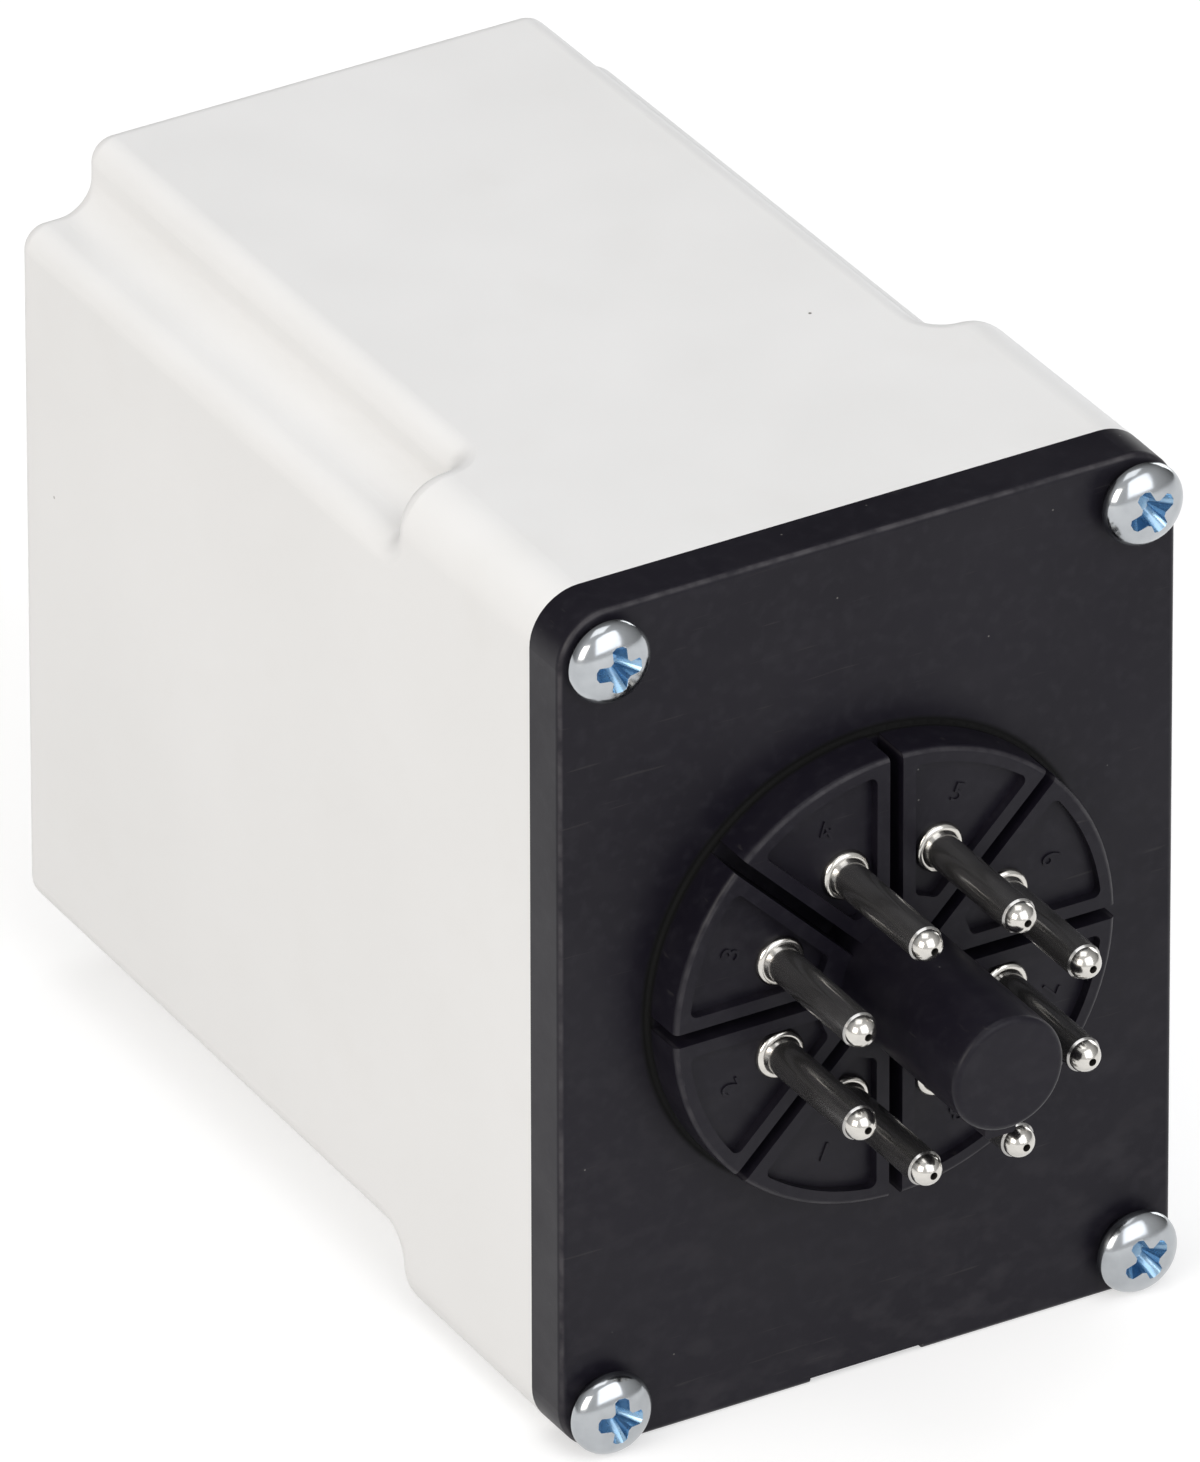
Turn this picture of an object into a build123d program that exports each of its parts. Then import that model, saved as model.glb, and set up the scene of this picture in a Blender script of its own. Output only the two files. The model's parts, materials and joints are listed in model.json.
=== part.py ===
from build123d import *
from math import cos, radians, sin, tan
import os

# Alternating relay with an eight-pin plug, lying on its narrow side. Millimetres.
# The origin is the centre of the pin circle on the face of the plug disc. The pins point along -Y,
# the casing runs along +Y, X crosses the narrow side and Z is up.

os.makedirs("parts", exist_ok=True)

# Base plate, a single moulding with the plug disc and the keyed post
plate_width = 44.2
plate_height = 60.2
plate_thickness = 3.6
plate_corner_radius = 3.5
plate_edge_radius = 0.45
relief_width = 8.2
relief_depth = 0.45
disc_radius = 15.85
disc_height = 3.4
disc_edge_radius = 0.4
disc_root_radius = 0.25
slot_width = 0.95
slot_floor = 0.3
slot_overrun = 0.6
pocket_depth = 0.7
pocket_rim = 1.0
pocket_border = 0.9
pocket_inner_radius = 5.6
pocket_corner_radius = 0.5
back_recess_radius = 13.0
back_recess_depth = 2.4
post_radius = 3.95
post_length = 13.7
post_tip_radius = 0.45
post_bore_radius = 2.4
post_end_wall = 2.4
key_half_width = 1.1
key_reach = 4.9
key_end_gap = 1.1
key_corner_radius = 0.3
lip_height = 3.0
lip_wall = 1.3
lip_clearance = 0.15

# Casing, a white shell with drafted walls
casing_length = 65.3
casing_draft = 0.6
casing_wall = 2.0
notch_width = 4.9
notch_height = 4.9
notch_root_radius = 2.2
notch_end_radius = 1.6
notch_edge_radius = 1.7
flange_length = 17.4
rear_edge_radius = 1.3
cavity_corner_radius = 0.8
rail_width = 1.2
rail_reach = 2.6
rail_length = 48.0
rail_clearance = 0.15

# Screws that hold the base plate to the casing
screw_inset_x = 3.05
screw_inset_z = 3.11
screw_radius = 1.42
screw_length = 12.0
screw_hole_clearance = 0.23
pilot_clearance = 0.03
pilot_extra = 1.0
screw_point = 0.6
screw_head_radius = 2.75
screw_head_height = 1.8
screw_head_crown = 1.1
recess_width = 0.8
recess_span = 3.1
recess_depth = 1.2

# Plug pins
pin_count = 8
pin_circle_diameter = 17.45
pin_radius = 1.18
pin_length = 10.24
pin_tip_radius = 1.06
pin_tip_hole_radius = 0.26
pin_tip_hole_depth = 0.8
pin_collar_radius = 1.7
pin_collar_height = 0.5
pin_collar_round = 0.35
pin_root_length = 0.3
pin_root_flare = 0.15
pin_shank_radius = 1.0
pin_shank_clearance = 0.03
pin_wire_clearance = 0.06
pin_bore_start = 1.0
pin_rivet_radius = 1.5
pin_rivet_height = 0.35
pin_tail = 0.9

# Boards
board_thickness = 1.6
board_back_room = 7.5
board_front_gap = 0.4
board_edge_gap = 1.1
front_board_gap = 8.7
front_board_side_gap = 1.2
front_board_end_gap = 5.1
tab_height = 6.0
tab_spacing = 28.0
tab_proud = 0.6
board_fit = 0.1
grip_inset = 6.0
grip_height = 4.0
grip_wall = 1.6
grip_cover = 2.4

# Lead wires from the pins to the main board
wire_radius = 0.5
wire_hole_clearance = 0.08
wire_start = 1.4
wire_row_setback = 2.8
wire_row_gap = 3.8
wire_row_drop = 2.8
wire_pad_pitch = 9.0
wire_turn_out = 2.6
wire_bend_radius = 1.2
wire_depth = 0.9

# Output relay
relay_to_wires = 2.6
relay_base_width = 25.2
relay_base_height = 3.0
relay_base_front_margin = 2.0
relay_base_rear_margin = 2.5
relay_base_corner = 0.8
yoke_thickness = 1.6
yoke_width = 14.0
yoke_bend_radius = 0.7
relay_headroom = 8.6
yoke_toe = 9.5
coil_gap = 1.0
core_radius = 2.8
core_rivet_radius = 1.6
pole_radius = 4.2
pole_height = 0.8
pole_air_gap = 0.05
flange_thickness = 1.0
flange_radius = 8.0
spool_wall = 0.8
winding_radius = 7.2
running_gap = 0.03
armature_open_angle = 3.4
armature_width = 12.0
armature_reach = 17.5
armature_thickness = 1.5
armature_tail = 2.2
armature_tail_width = 5.0
armature_corner = 1.0
carrier_start = 8.0
carrier_end = 17.0
carrier_corner = 0.6
carrier_width = 18.0
carrier_height = 1.5
pole_pitch = 12.0
blade_width = 4.0
blade_thickness = 0.3
blade_start = 8.5
blade_end = 22.6
blade_corner = 1.0
contact_reach = 21.0
contact_radius = 1.4
contact_height = 0.6
contact_gap = 0.03
terminal_thickness = 0.8
terminal_width = 4.0
terminal_bend_radius = 0.8
terminal_foot = 1.6
terminal_slot_clearance = 0.05
no_leg_reach = 24.6
leg_gap = 1.9
finger_overhang = 1.6
spring_thickness = 0.3
spring_width = 4.0
spring_foot = 6.0
spring_drop = 3.5
spring_slant = 1.8
spring_tail_gap = 0.6
spring_hook = 2.2
spring_bend_radius = 0.7
com_lead_radius = 0.6
com_lead_edge = 2.0
com_lead_setback = 5.6
com_lead_inset = 1.2
com_lead_bend_radius = 1.2
com_lead_gap = 0.25

# Selector switch and indicator lamps on the front panel
selector_width = 7.0
selector_height = 13.0
selector_end_gap = 0.3
selector_pocket_width = 3.8
selector_pocket_height = 9.2
selector_floor = 1.4
selector_corner = 0.5
pivot_to_panel = 4.3
pivot_radius = 0.75
pivot_clearance = 0.03
lever_travel = 12.0
lever_width = 3.2
lever_hub_radius = 1.7
lever_thickness = 2.0
lever_tip_thickness = 2.6
lever_tip_length = 3.0
lever_tip_radius = 0.8
lever_proud = 3.4
lever_tail_reach = 2.3
lever_tail_thickness = 1.6
lever_window_clearance = 0.3
lamp_spacing = 26.0
lamp_radius = 1.5
lamp_flange_radius = 1.9
lamp_flange_height = 1.0
lamp_proud = 0.9
lamp_hole_clearance = 0.1
lamp_leg_half_width = 0.25
lamp_leg_pitch = 1.27

# Electronics on the main board
leg_radius = 0.35
leg_bend_radius = 0.7
dropper_size = (14.0, 18.0, 8.5)
dropper_gap = 4.5
dropper_corner = 0.8
smoothing_radius = 4.0
smoothing_height = 11.5
smoothing_edge = 0.5
smoothing_to_front_board = 10.5
varistor_radius = 4.5
varistor_thickness = 3.6
varistor_edge = 0.9
varistor_standoff = 1.5
varistor_leg_pitch = 5.0
varistor_to_front_board = 3.0
chip_size = (3.4, 19.0, 6.4)
chip_gap = 4.0
chip_standoff = 0.6
chip_pin_pitch = 2.54
chip_pin_count = 7
chip_pin_out = 0.6
chip_pin_width = 0.5
chip_pin_thickness = 0.3
chip_edge = 0.25
diode_radius = 1.3
diode_length = 5.0
diode_leg_pitch = 9.0
diode_count = 4
diode_pitch = 3.5
diode_to_front_board = 3.0
resistor_radius = 1.05
resistor_length = 6.2
resistor_leg_pitch = 9.6
resistor_count = 3
resistor_z = 2.0
axial_height = 1.9
transistor_radius = 2.2
transistor_height = 4.6
transistor_flat = 1.3
transistor_standoff = 2.6
transistor_leg_pitch = 1.27
transistor_z = -8.5

# Places that follow from the sizes above
plate_front = disc_height
casing_front = plate_front + plate_thickness
casing_rear = casing_front + casing_length
cavity_end = casing_rear - casing_wall
pin_circle_radius = pin_circle_diameter / 2
sector_angle = 360 / pin_count
draft_slope = tan(radians(casing_draft))
notch_start = casing_front + flange_length
inner_x = plate_width / 2 - notch_width
inner_z = plate_height / 2 - notch_height
cavity_half_width = plate_width / 2 - casing_wall
cavity_half_height = plate_height / 2 - casing_wall
screw_spacing_x = plate_width - 2 * screw_inset_x
screw_spacing_z = plate_height - 2 * screw_inset_z
board_back = board_back_room - cavity_half_width
board_face = board_back + board_thickness
board_half_height = cavity_half_height - board_edge_gap
grip_spacing = 2 * (board_half_height - grip_inset)
board_middle = (board_back + board_face) / 2
board_front = casing_front + lip_height + board_front_gap
front_board_rear = cavity_end - front_board_gap
front_board_front = front_board_rear - board_thickness
front_board_width = 2 * (inner_x - casing_wall - front_board_side_gap)
front_board_height = 2 * (cavity_half_height - front_board_end_gap)
rail_root = plate_height / 2 - casing_wall / 2 - draft_slope * casing_length
wire_near_row = board_front + wire_row_setback
wire_far_row = wire_near_row + wire_row_gap
pivot_y = cavity_end - pivot_to_panel


def plug_side(y):
    """The plane across the part at this depth, facing the pins, with local x along X and local y along Z."""
    return Plane(origin=(0, y, 0), x_dir=(1, 0, 0), z_dir=(0, -1, 0))


def rear_side(y):
    """The plane across the part at this depth, facing the rear, with local x along -X and local y along Z."""
    return Plane(origin=(0, y, 0), x_dir=(-1, 0, 0), z_dir=(0, 1, 0))


def board_side(x):
    """The plane along the main board at this height, facing +X, with local x along Y and local y along Z."""
    return Plane.YZ.offset(x)


def pin_point(number, radius):
    """X and Z of a pin: pins 1 and 8 stand either side of the key, and the numbers run the clock's way."""
    angle = radians(-90 - sector_angle / 2 - sector_angle * (number - 1))
    return radius * cos(angle), radius * sin(angle)


def sides_of(part):
    """The walls of a part that run along Y."""
    return part.faces().filter_by(lambda face: abs(face.normal_at().Y) < 0.5)


def edges_along_y(part, start, end):
    """The edges of a part that run along Y, with their middles between two depths."""
    along = part.edges().filter_by(lambda edge: abs(edge.tangent_at(0.5).Y) > 0.9)
    return along.filter_by(lambda edge: start < (edge @ 0.5).Y < end)


def box_between(low, high):
    """A box given by two opposite corners."""
    middle = tuple((a + b) / 2 for a, b in zip(low, high))
    with Locations(middle):
        Box(high[0] - low[0], high[1] - low[1], high[2] - low[2])


# Base plate
grip_back = board_back - board_fit - grip_wall
grip_face = board_face + board_fit + grip_wall
recess_floor = casing_front - back_recess_depth
slot_depth = disc_height - slot_floor

with BuildPart() as base_plate:
    with BuildSketch(plug_side(casing_front)):
        RectangleRounded(plate_width, plate_height, plate_corner_radius)
    extrude(amount=plate_thickness)
    fillet(base_plate.faces().sort_by(Axis.Y)[0].edges(), plate_edge_radius)
    with BuildSketch(plug_side(casing_front)):
        with Locations((0, -plate_height / 2)):
            Rectangle(relief_width, 2 * relief_depth)
    extrude(amount=plate_thickness, mode=Mode.SUBTRACT)
    # Plug disc with a rounded rim and a small fillet at its foot
    with BuildSketch(plug_side(plate_front)):
        Circle(disc_radius)
    extrude(amount=disc_height)
    disc_rims = base_plate.edges().filter_by(GeomType.CIRCLE)
    disc_rims = disc_rims.filter_by(lambda edge: abs(edge.radius - disc_radius) < 0.01)
    fillet(disc_rims.sort_by(Axis.Y)[0], disc_edge_radius)
    fillet(disc_rims.sort_by(Axis.Y)[-1], disc_root_radius)
    # Radial slots between the pins, and a shallow pocket round each pin
    with BuildSketch(plug_side(slot_depth)):
        with PolarLocations(0, pin_count // 2, angular_range=180):
            Rectangle(2 * (disc_radius + slot_overrun), slot_width)
    extrude(amount=slot_depth, mode=Mode.SUBTRACT)
    with BuildSketch(plug_side(pocket_depth)) as pockets:
        Circle(disc_radius - pocket_rim)
        Circle(pocket_inner_radius, mode=Mode.SUBTRACT)
        with PolarLocations(0, pin_count // 2, angular_range=180):
            Rectangle(2 * disc_radius, slot_width + 2 * pocket_border, mode=Mode.SUBTRACT)
        fillet(pockets.vertices(), pocket_corner_radius)
    extrude(amount=pocket_depth, mode=Mode.SUBTRACT)
    # Centre post, and its key on the side of pins 1 and 8
    with BuildSketch(plug_side(slot_depth)):
        Circle(post_radius)
    extrude(amount=slot_depth + post_length)
    fillet(base_plate.faces().sort_by(Axis.Y)[0].edges(), post_tip_radius)
    with BuildSketch(plug_side(slot_depth)) as key:
        with Locations((0, -key_reach / 2)):
            Rectangle(2 * key_half_width, key_reach)
        fillet(key.vertices().group_by(Axis.Y)[0], key_corner_radius)
    extrude(amount=slot_depth + post_length - key_end_gap)
    # The back is recessed under the disc, and the post is hollow
    with BuildSketch(plug_side(casing_front)):
        Circle(back_recess_radius)
    extrude(amount=back_recess_depth, mode=Mode.SUBTRACT)
    with BuildSketch(plug_side(recess_floor)):
        Circle(post_bore_radius)
    extrude(amount=recess_floor + post_length - post_end_wall, mode=Mode.SUBTRACT)
    with BuildSketch(plug_side(casing_front)):
        with PolarLocations(pin_circle_radius, pin_count, start_angle=sector_angle / 2):
            Circle(pin_shank_radius + pin_shank_clearance)
        with GridLocations(screw_spacing_x, screw_spacing_z, 2, 2):
            Circle(screw_radius + screw_hole_clearance)
    extrude(amount=casing_front, mode=Mode.SUBTRACT)
    # Lip that centres the casing, following its notched inner wall
    with BuildSketch(rear_side(casing_front)) as lip:
        lip_inset = casing_wall + lip_clearance
        Rectangle(2 * (inner_x - lip_inset), plate_height - 2 * lip_inset)
        Rectangle(plate_width - 2 * lip_inset, 2 * (inner_z - lip_inset))
        fillet(lip.vertices(), cavity_corner_radius)
        offset(amount=-lip_wall, mode=Mode.SUBTRACT)
    extrude(amount=lip_height)
    # Two grips that hold the front edge of the main board
    for side in (-1, 1):
        grip_low = side * grip_spacing / 2 - grip_height / 2
        grip_high = side * grip_spacing / 2 + grip_height / 2
        box_between((grip_back, casing_front, grip_low), (grip_face, board_front + grip_cover, grip_high))
    with BuildSketch(rear_side(board_front)):
        with Locations((-(board_back + board_face) / 2, 0)):
            Rectangle(board_thickness + 2 * board_fit, grip_spacing + 2 * grip_height)
    extrude(amount=grip_cover, mode=Mode.SUBTRACT)
base_plate.part.label = "base_plate"
export_step(base_plate.part, "parts/base_plate.step")

# Casing. Its corner notches start behind a full-section flange, and every long wall is drafted
with BuildPart() as cavity:
    with BuildSketch(plug_side(casing_front)):
        Rectangle(2 * (inner_x - casing_wall), plate_height - 2 * casing_wall)
        Rectangle(plate_width - 2 * casing_wall, 2 * (inner_z - casing_wall))
    extrude(amount=casing_front - cavity_end)
    draft(sides_of(cavity), rear_side(casing_front), casing_draft)
    fillet(edges_along_y(cavity, casing_front, cavity_end), cavity_corner_radius)

with BuildPart() as casing:
    with BuildSketch(plug_side(casing_front)):
        Rectangle(2 * inner_x, plate_height)
        Rectangle(plate_width, 2 * inner_z)
    extrude(amount=-casing_length)
    with BuildSketch(plug_side(casing_front)):
        Rectangle(plate_width, plate_height)
    extrude(amount=-flange_length)
    draft(sides_of(casing), rear_side(casing_front), casing_draft)
    notch_lines = edges_along_y(casing, notch_start, casing_rear)
    fillet(notch_lines.filter_by(lambda edge: edge.is_interior), notch_root_radius)
    fillet(edges_along_y(casing, casing_front, notch_start), plate_corner_radius)
    # The end walls of the notches run out into the notch faces, and their rims are rounded over
    end_walls = casing.faces().filter_by_position(Axis.Y, notch_start - 0.01, notch_start + 0.01)
    fillet(end_walls.edges().filter_by(lambda edge: edge.is_interior), notch_end_radius)
    notch_lines = edges_along_y(casing, notch_start + notch_end_radius, casing_rear)
    fillet(notch_lines.filter_by(lambda edge: not edge.is_interior), notch_edge_radius)
    fillet(casing.faces().sort_by(Axis.Y)[-1].edges(), rear_edge_radius)
    add(cavity.part, mode=Mode.SUBTRACT)
    # Rails for the main board along the top and bottom walls
    rail_offset = (board_thickness + rail_width) / 2 + rail_clearance
    with BuildSketch(rear_side(cavity_end)):
        for x in (board_middle - rail_offset, board_middle + rail_offset):
            with Locations((-x, 0)):
                with GridLocations(0, 2 * rail_root - rail_reach, 1, 2):
                    Rectangle(rail_width, rail_reach)
    extrude(amount=-rail_length)
    # Pilot holes for the base screws
    with BuildSketch(rear_side(casing_front)):
        with GridLocations(screw_spacing_x, screw_spacing_z, 2, 2):
            Circle(screw_radius + pilot_clearance)
    extrude(amount=screw_length - plate_thickness + pilot_extra, mode=Mode.SUBTRACT)
    # Window for the selector lever and holes for the lamps
    window_half = (casing_rear - pivot_y) * tan(radians(lever_travel)) + lever_tip_thickness / 2
    with BuildSketch(rear_side(cavity_end)):
        Rectangle(lever_width + 2 * lever_window_clearance, 2 * (window_half + lever_window_clearance))
        with GridLocations(0, lamp_spacing, 1, 2):
            Circle(lamp_radius + lamp_hole_clearance)
    extrude(amount=casing_wall, mode=Mode.SUBTRACT)
casing.part.label = "casing"
export_step(casing.part, "parts/casing.step")

# Pan-head screws, alike at the four corners
head_rim = plate_front - screw_head_height + screw_head_crown
crown_curve = (screw_head_radius ** 2 + screw_head_crown ** 2) / (2 * screw_head_crown)
crown_middle = screw_head_radius / 2
crown_drop = crown_curve - (crown_curve ** 2 - crown_middle ** 2) ** 0.5

with BuildPart() as screw:
    with BuildSketch(Plane.XY):
        with BuildLine():
            Polyline(
                (0, head_rim - screw_head_crown),
                (0, plate_front + screw_length),
                (screw_radius - screw_point, plate_front + screw_length),
                (screw_radius, plate_front + screw_length - 2 * screw_point),
                (screw_radius, plate_front),
                (screw_head_radius, plate_front),
                (screw_head_radius, head_rim),
            )
            ThreePointArc(
                (screw_head_radius, head_rim),
                (crown_middle, head_rim - screw_head_crown + crown_drop),
                (0, head_rim - screw_head_crown),
            )
        make_face()
    revolve(axis=Axis.Y)
    with BuildSketch(rear_side(head_rim - screw_head_crown)):
        Rectangle(recess_span, recess_width)
        Rectangle(recess_width, recess_span)
    extrude(amount=recess_depth, mode=Mode.SUBTRACT)

with BuildPart() as base_screws:
    for x in (-screw_spacing_x / 2, screw_spacing_x / 2):
        for z in (-screw_spacing_z / 2, screw_spacing_z / 2):
            with Locations((x, 0, z)):
                add(screw.part)
base_screws.part.label = "base_screws"
export_step(base_screws.part, "parts/base_screws.step")

# Plug pins: a ball tip, a straight shaft, a rolled collar on the pocket floor and a riveted shank
dome_centre = pin_tip_radius - pin_length
collar_front = pocket_depth - pin_collar_height
rivet_end = recess_floor + pin_rivet_height
tail_end = rivet_end + pin_tail
tip_angle = 45

with BuildPart() as pin:
    with BuildSketch(Plane.XY):
        with BuildLine():
            ThreePointArc(
                (0, -pin_length),
                (pin_tip_radius * sin(radians(tip_angle)), dome_centre - pin_tip_radius * cos(radians(tip_angle))),
                (pin_tip_radius, dome_centre),
            )
            Polyline(
                (pin_tip_radius, dome_centre),
                (pin_radius, dome_centre + pin_radius - pin_tip_radius),
                (pin_radius, collar_front - pin_root_length),
                (pin_radius + pin_root_flare, collar_front),
                (pin_collar_radius - pin_collar_round, collar_front),
            )
            RadiusArc(
                (pin_collar_radius - pin_collar_round, collar_front),
                (pin_collar_radius, collar_front + pin_collar_round),
                -pin_collar_round,
            )
            Polyline(
                (pin_collar_radius, collar_front + pin_collar_round),
                (pin_collar_radius, pocket_depth),
                (pin_shank_radius, pocket_depth),
                (pin_shank_radius, recess_floor),
                (pin_rivet_radius, recess_floor),
                (pin_rivet_radius, rivet_end),
                (pin_shank_radius, rivet_end),
                (pin_shank_radius, tail_end),
                (0, tail_end),
                (0, -pin_length),
            )
        make_face()
    revolve(axis=Axis.Y)
    with BuildSketch(plug_side(tail_end)):
        Circle(wire_radius + pin_wire_clearance)
    extrude(amount=tail_end - pin_bore_start, mode=Mode.SUBTRACT)
    with BuildSketch(rear_side(-pin_length)):
        Circle(pin_tip_hole_radius)
    extrude(amount=pin_tip_hole_depth, mode=Mode.SUBTRACT)

for number in range(1, pin_count + 1):
    x, z = pin_point(number, pin_circle_radius)
    with BuildPart() as plug_pin:
        with Locations((x, 0, z)):
            add(pin.part)
    plug_pin.part.label = f"pin_{number}"
    export_step(plug_pin.part, f"parts/pin_{number}.step")

# Lead wires. Pins 1 to 4 reach the near row of pads and pins 5 to 8 the far row
wire_points = []
for number in range(1, pin_count + 1):
    x, z = pin_point(number, pin_circle_radius)
    near = number <= pin_count // 2
    row = wire_near_row if near else wire_far_row
    place = number - 1 if near else pin_count - number
    pad = wire_pad_pitch * (place - (pin_count // 2 - 1) / 2)
    wire_points.append((row, pad))
    with BuildPart() as lead_wire:
        with BuildLine() as lead_path:
            FilletPolyline(
                (x, wire_start, z),
                (x, row - wire_row_drop, z),
                (board_face + wire_turn_out, row, pad),
                (board_face - wire_depth, row, pad),
                radius=wire_bend_radius,
            )
        with BuildSketch(rear_side(wire_start)):
            with Locations((-x, z)):
                Circle(wire_radius)
        sweep(path=lead_path.line)
    lead_wire.part.label = f"lead_wire_{number}"
    export_step(lead_wire.part, f"parts/lead_wire_{number}.step")

# Main board, on edge between the base plate's grips and the front board
with BuildPart() as main_board:
    box_between(
        (board_back, board_front, -board_half_height),
        (board_face, front_board_front, board_half_height),
    )
    for z in (-tab_spacing / 2, tab_spacing / 2):
        box_between(
            (board_back, front_board_front, z - tab_height / 2),
            (board_face, front_board_rear + tab_proud, z + tab_height / 2),
        )
    with BuildSketch(board_side(board_back)):
        with Locations(*wire_points):
            Circle(wire_radius + wire_hole_clearance)
    extrude(amount=board_thickness, mode=Mode.SUBTRACT)
main_board.part.label = "main_board"
export_step(main_board.part, "parts/main_board.step")

with BuildPart() as front_board:
    with BuildSketch(rear_side(front_board_front)):
        Rectangle(front_board_width, front_board_height)
        with Locations((-board_middle, 0)):
            with GridLocations(0, tab_spacing, 1, 2):
                Rectangle(board_thickness + 2 * board_fit, tab_height + 2 * board_fit, mode=Mode.SUBTRACT)
    extrude(amount=board_thickness)
front_board.part.label = "front_board"
export_step(front_board.part, "parts/front_board.step")

# Output relay. Its coil stands on the board, and the yoke stands behind it
base_top = board_face + relay_base_height
yoke_floor = base_top + yoke_thickness
yoke_top = cavity_half_width - relay_headroom
relay_base_front = wire_far_row + relay_to_wires
nc_leg_y = relay_base_front + relay_base_front_margin
no_leg_y = nc_leg_y + leg_gap
hinge_x = yoke_top + running_gap
hinge_y = no_leg_y + no_leg_reach
yoke_inner_y = hinge_y - yoke_thickness
coil_y = yoke_inner_y - coil_gap - flange_radius
pole_top = hinge_x - pole_air_gap
spool_top = pole_top - pole_height
blade_base = armature_thickness + carrier_height
blade_top = blade_base + blade_thickness
foot_x = base_top - terminal_foot
relay_base_rear = hinge_y + relay_base_rear_margin
com_lead_y = hinge_y - com_lead_setback
com_lead_z = relay_base_width / 2 - com_lead_edge


def over_hinge(reach, height, angle=armature_open_angle):
    """X and Y of a point this far along the armature and this high over the hinge line."""
    turn = radians(angle)
    return hinge_x + reach * sin(turn) + height * cos(turn), hinge_y - reach * cos(turn) + height * sin(turn)


def armature_side(height):
    """The plane along the open armature at this height over the hinge line, with local x along it."""
    turn = radians(armature_open_angle)
    hinge = Plane(origin=(hinge_x, hinge_y, 0), x_dir=(sin(turn), -cos(turn), 0), z_dir=(cos(turn), sin(turn), 0))
    return hinge.offset(height)


with BuildPart() as relay_base:
    with BuildSketch(board_side(board_face)):
        with Locations(((relay_base_front + relay_base_rear) / 2, 0)):
            RectangleRounded(relay_base_rear - relay_base_front, relay_base_width, relay_base_corner)
    extrude(amount=relay_base_height)
    with BuildSketch(board_side(foot_x)):
        for leg_y in (no_leg_y, nc_leg_y):
            with Locations((leg_y, 0)):
                with GridLocations(0, pole_pitch, 1, 2):
                    Rectangle(
                        terminal_thickness + 2 * terminal_slot_clearance,
                        terminal_width + 2 * terminal_slot_clearance,
                    )
        with Locations((com_lead_y, 0)):
            with GridLocations(0, 2 * com_lead_z, 1, 2):
                Circle(com_lead_radius + terminal_slot_clearance)
    extrude(amount=terminal_foot, mode=Mode.SUBTRACT)
relay_base.part.label = "relay_base"
export_step(relay_base.part, "parts/relay_base.step")

with BuildPart() as relay_yoke:
    with BuildSketch(Plane.XY) as yoke_profile:
        with BuildLine():
            FilletPolyline(
                (base_top + yoke_thickness / 2, coil_y - yoke_toe),
                (base_top + yoke_thickness / 2, hinge_y - yoke_thickness / 2),
                (yoke_top, hinge_y - yoke_thickness / 2),
                radius=yoke_bend_radius + yoke_thickness / 2,
            )
        trace(line_width=yoke_thickness)
    extrude(amount=yoke_width / 2, both=True)
    with BuildSketch(board_side(base_top)):
        with Locations((coil_y, 0)):
            Circle(core_rivet_radius)
    extrude(amount=yoke_thickness, mode=Mode.SUBTRACT)
relay_yoke.part.label = "relay_yoke"
export_step(relay_yoke.part, "parts/relay_yoke.step")

with BuildPart() as relay_core:
    for low, high, radius in (
        (base_top, yoke_floor, core_rivet_radius),
        (yoke_floor, spool_top, core_radius),
        (spool_top, pole_top, pole_radius),
    ):
        with BuildSketch(board_side(low)):
            with Locations((coil_y, 0)):
                Circle(radius)
        extrude(amount=high - low)
relay_core.part.label = "relay_core"
export_step(relay_core.part, "parts/relay_core.step")

with BuildPart() as relay_bobbin:
    for low, high, radius in (
        (yoke_floor, yoke_floor + flange_thickness, flange_radius),
        (yoke_floor + flange_thickness, spool_top - flange_thickness, core_radius + running_gap + spool_wall),
        (spool_top - flange_thickness, spool_top, flange_radius),
    ):
        with BuildSketch(board_side(low)):
            with Locations((coil_y, 0)):
                Circle(radius)
        extrude(amount=high - low)
    with BuildSketch(board_side(yoke_floor)):
        with Locations((coil_y, 0)):
            Circle(core_radius + running_gap)
    extrude(amount=spool_top - yoke_floor, mode=Mode.SUBTRACT)
relay_bobbin.part.label = "relay_bobbin"
export_step(relay_bobbin.part, "parts/relay_bobbin.step")

with BuildPart() as relay_coil:
    with BuildSketch(board_side(yoke_floor + flange_thickness)):
        with Locations((coil_y, 0)):
            Circle(winding_radius)
            Circle(core_radius + running_gap + spool_wall, mode=Mode.SUBTRACT)
    extrude(amount=spool_top - yoke_floor - 2 * flange_thickness)
relay_coil.part.label = "relay_coil"
export_step(relay_coil.part, "parts/relay_coil.step")

with BuildPart() as relay_armature:
    with BuildSketch(armature_side(0)):
        with Locations((armature_reach / 2, 0)):
            Rectangle(armature_reach, armature_width)
        with Locations((-armature_tail / 2, 0)):
            Rectangle(armature_tail, armature_tail_width)
    extrude(amount=armature_thickness)
relay_armature.part.label = "relay_armature"
export_step(relay_armature.part, "parts/relay_armature.step")

with BuildPart() as contact_carrier:
    with BuildSketch(armature_side(armature_thickness)):
        with Locations(((carrier_start + carrier_end) / 2, 0)):
            RectangleRounded(carrier_end - carrier_start, carrier_width, carrier_corner)
    extrude(amount=carrier_height)
contact_carrier.part.label = "contact_carrier"
export_step(contact_carrier.part, "parts/contact_carrier.step")

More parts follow.
